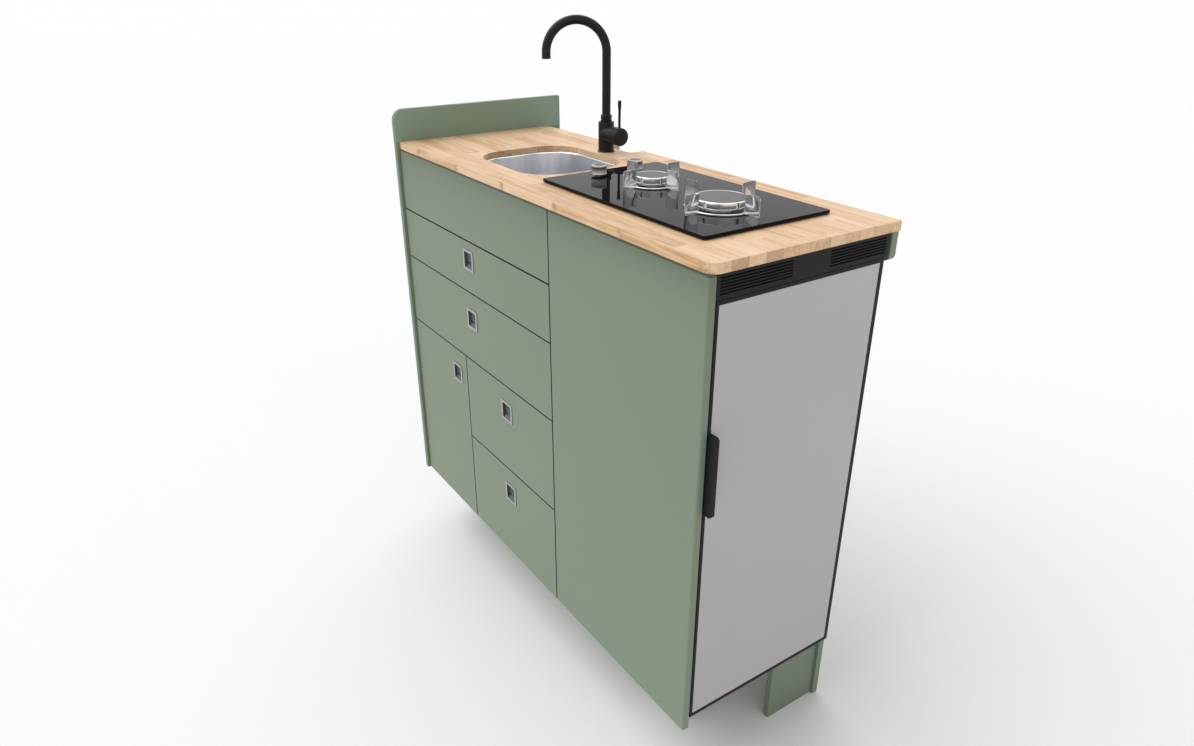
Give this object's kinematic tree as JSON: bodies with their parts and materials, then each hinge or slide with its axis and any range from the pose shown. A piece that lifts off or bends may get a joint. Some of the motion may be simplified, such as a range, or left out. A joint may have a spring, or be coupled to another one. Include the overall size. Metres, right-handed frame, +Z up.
{
  "type": "campervan kitchen pod",
  "caption": "Compact campervan kitchen run: timber worktop with a sink, mixer tap and gas hob over drawers, a cupboard and an end-opening slim fridge.",
  "frame": {"origin": "floor level, under the middle of the outline's box", "axes": "+X to the user's right towards the fridge door, +Y to the back, +Z up"},
  "size_m": [1.2186, 0.485, 1.421],
  "materials": {
    "painted_board": "satin sage green paint over birch plywood",
    "oiled_timber": "oiled pale beech or bamboo, edge-glued staves",
    "plywood": "clear-lacquered plywood",
    "zinc_steel": "zinc-plated sheet steel",
    "catch_metal": "satin nickel on the catches, zinc on the runners",
    "paddle_plastic": "fine-grained dark plastic",
    "stainless": "pressed stainless steel, fine satin",
    "waste_metal": "bright strainer with a plain body",
    "black_glass": "toughened black glass, gloss",
    "tray_metal": "pressed steel, dark paint",
    "burner_metal": "cast aluminium, turned bright",
    "cap_enamel": "matt enamelled cap with a bright rim",
    "polished_steel": "polished stainless plate",
    "valve_brass": "plain machined brass",
    "spindle_steel": "ground steel",
    "knob_metal": "turned satin metal",
    "tap_black": "matt black coating over brass",
    "fridge_plastic": "white moulded plastic over foam",
    "shelf_wire": "white coated wire",
    "dark_plastic": "fine-grained near-black plastic",
    "unit_metal": "black paint on compressor and condenser",
    "door_face": "satin warm grey paint",
    "seal_rubber": "soft grey magnetic seal"
  },
  "bodies": {
    "carcass": {"end_panel": "painted_board", "divider_panel": "painted_board", "partition_panel": "painted_board", "base_panel": "painted_board", "mid_shelf": "painted_board", "rails": "painted_board", "back_panel": "painted_board", "fridge_side_panel": "painted_board", "sink_front": "painted_board", "plinth_boards": "painted_board", "worktop": "oiled_timber", "cabinet_fittings": "zinc_steel", "runners_fixed": "zinc_steel", "sink_bowl": "stainless", "sink_waste": "waste_metal", "hob_glass": "black_glass", "hob_tray": "tray_metal", "burner_bases": "burner_metal", "burner_caps": "cap_enamel", "pan_supports": "polished_steel", "gas_valves": "valve_brass", "tap_body": "tap_black", "tap_tail": "valve_brass", "fridge_cabinet": "fridge_plastic", "fridge_shelves": "shelf_wire", "fridge_grille": "dark_plastic", "fridge_hinges": "zinc_steel", "cooling_unit": "unit_metal"},
    "front_spindle": {"spindle_front": "spindle_steel"},
    "front_knob": {"knob_front": "knob_metal"},
    "rear_spindle": {"spindle_rear": "spindle_steel"},
    "rear_knob": {"knob_rear": "knob_metal"},
    "spout": {"tap_spout": "tap_black"},
    "mixer_cap": {"tap_cap": "tap_black"},
    "mixer_lever": {"tap_lever": "tap_black"},
    "fridge_door": {"fridge_door_frame": "dark_plastic", "fridge_door_panel": "door_face", "fridge_door_liner": "fridge_plastic", "fridge_door_racks": "fridge_plastic", "fridge_gasket": "seal_rubber", "fridge_handle": "dark_plastic"},
    "cupboard_door": {"cupboard_door": "painted_board", "cupboard_door_fittings": "catch_metal"},
    "cupboard_paddle": {"cupboard_door_paddle": "paddle_plastic"},
    "drawer_1": {"drawer_1_front": "painted_board", "drawer_1_box": "plywood", "drawer_1_fittings": "catch_metal"},
    "paddle_1": {"drawer_1_paddle": "paddle_plastic"},
    "drawer_2": {"drawer_2_front": "painted_board", "drawer_2_box": "plywood", "drawer_2_fittings": "catch_metal"},
    "paddle_2": {"drawer_2_paddle": "paddle_plastic"},
    "drawer_3": {"drawer_3_front": "painted_board", "drawer_3_box": "plywood", "drawer_3_fittings": "catch_metal"},
    "paddle_3": {"drawer_3_paddle": "paddle_plastic"},
    "drawer_4": {"drawer_4_front": "painted_board", "drawer_4_box": "plywood", "drawer_4_fittings": "catch_metal"},
    "paddle_4": {"drawer_4_paddle": "paddle_plastic"}
  },
  "joints": [
    {"name": "drawer_1_slide", "type": "slide", "parent": "carcass", "child": "drawer_1", "axis": [0, -1, 0], "range_m": [0, 0.26]},
    {"name": "drawer_2_slide", "type": "slide", "parent": "carcass", "child": "drawer_2", "axis": [0, -1, 0], "range_m": [0, 0.26]},
    {"name": "drawer_3_slide", "type": "slide", "parent": "carcass", "child": "drawer_3", "axis": [0, -1, 0], "range_m": [0, 0.26]},
    {"name": "drawer_4_slide", "type": "slide", "parent": "carcass", "child": "drawer_4", "axis": [0, -1, 0], "range_m": [0, 0.26]},
    {"name": "cupboard_door_hinge", "type": "hinge", "parent": "carcass", "child": "cupboard_door", "pos_m": [-0.58175, -0.2274, 0.4], "axis": [0, 0, -1], "range_deg": [0, 90]},
    {"name": "fridge_door_hinge", "type": "hinge", "parent": "carcass", "child": "fridge_door", "pos_m": [0.57925, 0.1635, 0.626], "axis": [0, 0, 1], "range_deg": [0, 100]},
    {"name": "paddle_1_pull", "type": "hinge", "parent": "drawer_1", "child": "paddle_1", "pos_m": [-0.2345, -0.2299, 0.92], "axis": [-1, 0, 0], "range_deg": [0, 22], "stiffness_Nm_per_rad": 0.02, "springref_deg": -28.65},
    {"name": "paddle_2_pull", "type": "hinge", "parent": "drawer_2", "child": "paddle_2", "pos_m": [-0.2345, -0.2299, 0.773], "axis": [-1, 0, 0], "range_deg": [0, 22], "stiffness_Nm_per_rad": 0.02, "springref_deg": -28.65},
    {"name": "paddle_3_pull", "type": "hinge", "parent": "drawer_3", "child": "paddle_3", "pos_m": [-0.08125, -0.2299, 0.593], "axis": [-1, 0, 0], "range_deg": [0, 22], "stiffness_Nm_per_rad": 0.02, "springref_deg": -28.65},
    {"name": "paddle_4_pull", "type": "hinge", "parent": "drawer_4", "child": "paddle_4", "pos_m": [-0.08125, -0.2299, 0.366], "axis": [-1, 0, 0], "range_deg": [0, 22], "stiffness_Nm_per_rad": 0.02, "springref_deg": -28.65},
    {"name": "cupboard_paddle_pull", "type": "hinge", "parent": "cupboard_door", "child": "cupboard_paddle", "pos_m": [-0.34025, -0.2299, 0.593], "axis": [-1, 0, 0], "range_deg": [0, 22], "stiffness_Nm_per_rad": 0.02, "springref_deg": -28.65},
    {"name": "spout_swivel", "type": "hinge", "parent": "carcass", "child": "spout", "pos_m": [-0.20325, 0.1285, 1.195], "axis": [0, 0, 1], "range_deg": [-60, 60]},
    {"name": "mixer_turn", "type": "hinge", "parent": "carcass", "child": "mixer_cap", "pos_m": [-0.15225, 0.1285, 1.161], "axis": [1, 0, 0], "range_deg": [-40, 40]},
    {"name": "lever_tilt", "type": "hinge", "parent": "mixer_cap", "child": "mixer_lever", "pos_m": [-0.15025, 0.1285, 1.161], "axis": [0, 1, 0], "range_deg": [0, 25]},
    {"name": "front_knob_turn", "type": "hinge", "parent": "carcass", "child": "front_spindle", "pos_m": [0.03775, -0.0565, 1.125], "axis": [0, 0, -1], "range_deg": [-210, 0]},
    {"name": "front_knob_press", "type": "slide", "parent": "front_spindle", "child": "front_knob", "axis": [0, 0, -1], "range_m": [0, 0.003], "stiffness_N_per_m": 600, "springref_m": -0.004},
    {"name": "rear_knob_turn", "type": "hinge", "parent": "carcass", "child": "rear_spindle", "pos_m": [0.03775, 0.0355, 1.125], "axis": [0, 0, -1], "range_deg": [-210, 0]},
    {"name": "rear_knob_press", "type": "slide", "parent": "rear_spindle", "child": "rear_knob", "axis": [0, 0, -1], "range_m": [0, 0.003], "stiffness_N_per_m": 600, "springref_m": -0.004}
  ]
}
